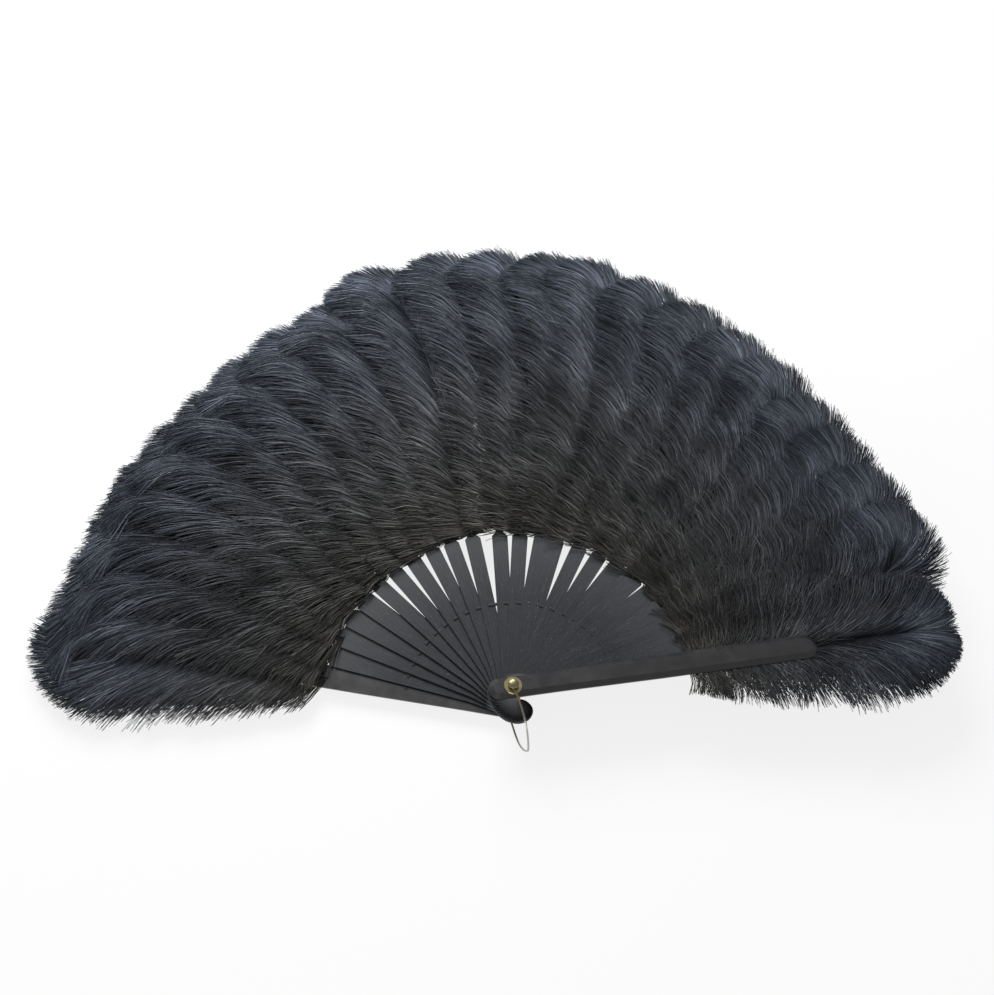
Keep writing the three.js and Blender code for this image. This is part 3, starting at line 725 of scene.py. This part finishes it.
# %% [markdown]
# ## Thread lashings
# Each quill is tied to the thinned stem of its stick with a few turns of black thread, near the
# shoulder and again near the end of the stem. From the front the barbs hide them, from the back they
# show. A Spiral curve is squeezed to the stem's flat section, swept with a thin round profile, and set
# at both places.

# %% The lashing tree
L = bpy.data.node_groups.new("thread_lashing", "GeometryNodeTree")
L.interface.new_socket("Geometry", in_out="OUTPUT", socket_type="NodeSocketGeometry")
for name in ("First", "Apart", "Long", "Half Width", "Half Height", "Thread", "Turns"):
    L.interface.new_socket(name, in_out="INPUT", socket_type="NodeSocketFloat")
L.interface.new_socket("Finish", in_out="INPUT", socket_type="NodeSocketMaterial")
given = add(L, "NodeGroupInput").outputs
wound = {"Resolution": 12, "Rotations": given["Turns"], "Start Radius": 1.0, "End Radius": 1.0}
coil = add(L, "GeometryNodeCurveSpiral", {**wound, "Height": given["Long"]})
xyz = add(L, "ShaderNodeSeparateXYZ", {"Vector": add(L, "GeometryNodeInputPosition")}).outputs
SQUARED = 0.8  # where the round coil is cut flat, so that it hugs a flat stem
flats = {}
for axis, half in (("X", given["Half Width"]), ("Y", given["Half Height"])):
    out = add(L, "ShaderNodeMath", {0: xyz[axis]}, operation="ABSOLUTE")
    out = add(L, "ShaderNodeMapRange", {"Value": out, "From Max": SQUARED, "To Max": half})
    sign = add(L, "ShaderNodeMath", {0: xyz[axis]}, operation="SIGN")
    flats[axis] = add(L, "ShaderNodeMath", {0: out, 1: sign}, operation="MULTIPLY")
laid = add(L, "ShaderNodeCombineXYZ", {"X": xyz["Z"], "Y": flats["X"], "Z": flats["Y"]})
coil = add(L, "GeometryNodeSetPosition", {"Geometry": coil, "Position": laid})
ring = add(L, "GeometryNodeCurvePrimitiveCircle", {"Resolution": 4, "Radius": 1.0})
wrapped = {"Curve": coil, "Profile Curve": ring, "Scale": given["Thread"], "Fill Caps": True}
coil = add(L, "GeometryNodeCurveToMesh", wrapped)
places = add(
    L,
    "GeometryNodeMeshLine",
    {
        "Count": 2,
        "Start Location": add(L, "ShaderNodeCombineXYZ", {"X": given["First"]}),
        "Offset": add(L, "ShaderNodeCombineXYZ", {"X": given["Apart"]}),
    },
)
both = add(L, "GeometryNodeInstanceOnPoints", {"Points": places, "Instance": coil})
both = add(L, "GeometryNodeRealizeInstances", {"Geometry": both})
both = add(L, "GeometryNodeSetShadeSmooth", {"Geometry": both})
both = add(L, "GeometryNodeSetMaterial", {"Geometry": both, "Material": given["Finish"]})
add(L, "NodeGroupOutput", {"Geometry": both})
print("lashing tree", len(L.nodes), "nodes")

# %% Lashings on all sticks
STEM_HALF = 3 * MM  # half the width of a stem
THREAD = 0.14 * MM  # radius of the thread
TIE_LOW, TIE_APART = 134 * MM, 66 * MM  # the first tie from the rivet, and the second from the first
TIE_LONG, TIE_TURNS = 2.2 * MM, 7.0
TIE_RISE, TIE_SUNK = 0.62 * MM, 0.55 * MM  # half its height, and its middle below the plume's top
STAGGER = 2.6 * MM  # neighbours tie at two different places, so the closed fan stays thin
for order, arm in enumerate(STICKS):
    degrees, top, _ = lie_of("plume_" + arm.replace("stick_", ""))
    values = {"First": TIE_LOW + STAGGER * (order % 2), "Apart": TIE_APART, "Long": TIE_LONG}
    values.update({"Turns": TIE_TURNS, "Half Width": STEM_HALF + THREAD, "Half Height": TIE_RISE})
    values.update({"Thread": THREAD, "Finish": silk})
    tied = grow("lashing_" + arm, L, values, placed(degrees, top - TIE_SUNK))
    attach(tied, arm)
print("lashings", len(STICKS))

# %% [markdown]
# ## A bare quill end
# At the back guard the pale root of one quill shows below the barbs. It is a short tapered peg, undyed
# because the dye does not take on the bare root.

# %% The quill end's material
bare, tree, shader = finish("bare_quill", Roughness=0.45, Subsurface_Weight=0.1)
ROOT_MOTTLE = 1.5 * MM
where = add(tree, "ShaderNodeTexCoord").outputs["Object"]
mottle = add(tree, "ShaderNodeTexNoise", {"Vector": where, "Scale": 1 / ROOT_MOTTLE, "Detail": 2.0})
colours = {"Factor": mottle.outputs["Fac"], 6: linear("7d7360"), 7: linear("cfc6b0")}
tone = add(tree, "ShaderNodeMix", colours, data_type="RGBA")
tree.links.new(tone.outputs[2], shader.inputs["Base Color"])
print("material", bare.name)

# %% The quill end
Q = bpy.data.node_groups.new("quill_root", "GeometryNodeTree")
Q.interface.new_socket("Geometry", in_out="OUTPUT", socket_type="NodeSocketGeometry")
for name in ("Long", "Radius"):
    Q.interface.new_socket(name, in_out="INPUT", socket_type="NodeSocketFloat")
Q.interface.new_socket("Finish", in_out="INPUT", socket_type="NodeSocketMaterial")
given = add(Q, "NodeGroupInput").outputs
far_end = add(Q, "ShaderNodeCombineXYZ", {"X": given["Long"]})
peg = add(Q, "GeometryNodeCurvePrimitiveLine", {"End": far_end})
peg = add(Q, "GeometryNodeResampleCurve", {"Curve": peg, "Count": 6})
way = add(Q, "GeometryNodeSplineParameter").outputs["Factor"]
stout = add(Q, "ShaderNodeFloatCurve", {"Value": way}, points=[(0, 0.55), (0.2, 0.9), (1, 1)])
stout = add(Q, "ShaderNodeMath", {0: stout, 1: given["Radius"]}, operation="MULTIPLY")
ring = add(Q, "GeometryNodeCurvePrimitiveCircle", {"Resolution": 10, "Radius": 1.0})
wrapped = {"Curve": peg, "Profile Curve": ring, "Scale": stout, "Fill Caps": True}
peg = add(Q, "GeometryNodeCurveToMesh", wrapped)
peg = add(Q, "GeometryNodeSetShadeSmooth", {"Geometry": peg})
peg = add(Q, "GeometryNodeRealizeInstances", {"Geometry": peg})
peg = add(Q, "GeometryNodeSetMaterial", {"Geometry": peg, "Material": given["Finish"]})
add(Q, "NodeGroupOutput", {"Geometry": peg})
degrees, height, _ = lie_of("plume_back_guard")
ROOT_RADIUS, ROOT_LONG = 0.9 * MM, 11 * MM
ROOT_FROM, ROOT_ASIDE = 134 * MM, 9.5 * MM  # from the rivet, and beside the guard's middle line
root_place = placed(degrees, height + ROOT_RADIUS) @ Matrix.Translation((ROOT_FROM, ROOT_ASIDE, 0))
values = {"Long": ROOT_LONG, "Radius": ROOT_RADIUS, "Finish": bare}
root = grow("quill_root", Q, values, root_place)
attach(root, "back_guard")
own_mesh(root)
print("quill root", len(root.data.polygons), "faces")

# %% [markdown]
# ## The studio
# The photograph shows the fan on plain white, with soft light from above. A white floor carries a faint
# shadow, and for rays that come from the camera or a mirror-like surface it glows on its own, so the
# ground stays white without more light on the fan. The room behind it is white to the camera for the
# same reason. One large soft lamp hangs behind the rim and a weaker one stands in front.

# %% Floor
WIDE = 3.0  # half the side of the floor, in metres
GLOW = 0.82  # share of its white that the floor gives by itself; the rest shows the shadow
floor = bpy.data.meshes.new("floor")
corners = [(-WIDE, -WIDE, 0), (WIDE, -WIDE, 0), (WIDE, WIDE, 0), (-WIDE, WIDE, 0)]
floor.from_pydata(corners, [], [(0, 1, 2, 3)])
ground = bpy.data.objects.new("floor", floor)
bpy.context.scene.collection.objects.link(ground)
paper, tree, shader = finish("white_paper", Base_Color=linear("f4f4f4"), Roughness=0.9)
path = add(tree, "ShaderNodeLightPath").outputs
glow = add(tree, "ShaderNodeEmission", {"Color": (1, 1, 1, 1), "Strength": 1.0})
both = add(tree, "ShaderNodeMixShader", {0: GLOW, 1: shader, 2: glow})
rays = {0: path["Is Camera Ray"], 1: path["Is Glossy Ray"]}
seen = add(tree, "ShaderNodeMath", rays, operation="MAXIMUM")
pick = add(tree, "ShaderNodeMixShader", {0: seen, 1: shader, 2: both})
tree.links.new(pick.outputs[0], tree.nodes["Material Output"].inputs["Surface"])
floor.materials.append(paper)
print("floor", 2 * WIDE, "m wide")

# %% World and lamps
ROOM_LIGHT = 0.3  # what the room gives the fan, while the camera sees a white room
world = bpy.data.worlds.new("studio")
world.use_nodes = True
world.node_tree.nodes["Background"].inputs["Color"].default_value = (1, 1, 1, 1)
path = add(world.node_tree, "ShaderNodeLightPath").outputs
seen = {"Value": path["Is Camera Ray"], "To Min": ROOM_LIGHT, "To Max": 1.0}
seen = add(world.node_tree, "ShaderNodeMapRange", seen)
world.node_tree.links.new(seen.outputs[0], world.node_tree.nodes["Background"].inputs["Strength"])
bpy.context.scene.world = world

AIM = Vector((-0.0051, 0.1631, 0.020))  # near the middle of the open fan
LAMPS = {  # place and size in metres, power in watts
    "back_softbox": ((-0.35, 1.1, 0.9), (1.0, 0.7), 25),
    "front_softbox": ((-0.4, -1.3, 0.6), (0.9, 0.6), 6),
}
for name, (place, size, watts) in LAMPS.items():
    data = bpy.data.lights.new(name, "AREA")
    data.shape = "RECTANGLE"
    data.size, data.size_y = size
    data.energy = watts
    softbox = bpy.data.objects.new(name, data)
    softbox.location = place
    softbox.rotation_mode = "QUATERNION"
    softbox.rotation_quaternion = (AIM - Vector(place)).to_track_quat("-Z", "Y")
    bpy.context.scene.collection.objects.link(softbox)
print("lamps", len(LAMPS))

# %% [markdown]
# ## The camera
# It looks down at 59 degrees from the front and is rolled a little, as the photograph is. Those
# angles, the distance and the focal length were fitted to the rivet, the guards and the rim.

# %% The camera
EL, AZ, ROLL = (math.radians(a) for a in (59.05, -9.92, 10.07))
FAR = 1.202  # metres from the point it looks at
FOCAL_PX, FRAME_PX = 1615, 995  # focal length and longer side, in pixels of the photograph
back = Vector((math.sin(AZ) * math.cos(EL), -math.cos(AZ) * math.cos(EL), math.sin(EL)))
right = Vector((0, 0, 1)).cross(back).normalized()
up = back.cross(right)
across = right * math.cos(ROLL) + up * math.sin(ROLL)
upright = up * math.cos(ROLL) - right * math.sin(ROLL)
lens = bpy.data.cameras.new("camera")
lens.sensor_width = 36.0
lens.lens = lens.sensor_width * FOCAL_PX / FRAME_PX
camera = bpy.data.objects.new("camera", lens)
pose = Matrix((across, upright, back)).transposed().to_4x4()
pose.translation = AIM + back * FAR
camera.matrix_world = pose
bpy.context.scene.collection.objects.link(camera)
bpy.context.scene.camera = camera
bpy.context.scene.view_settings.view_transform = "Standard"
print("lens", round(lens.lens, 1), "mm")
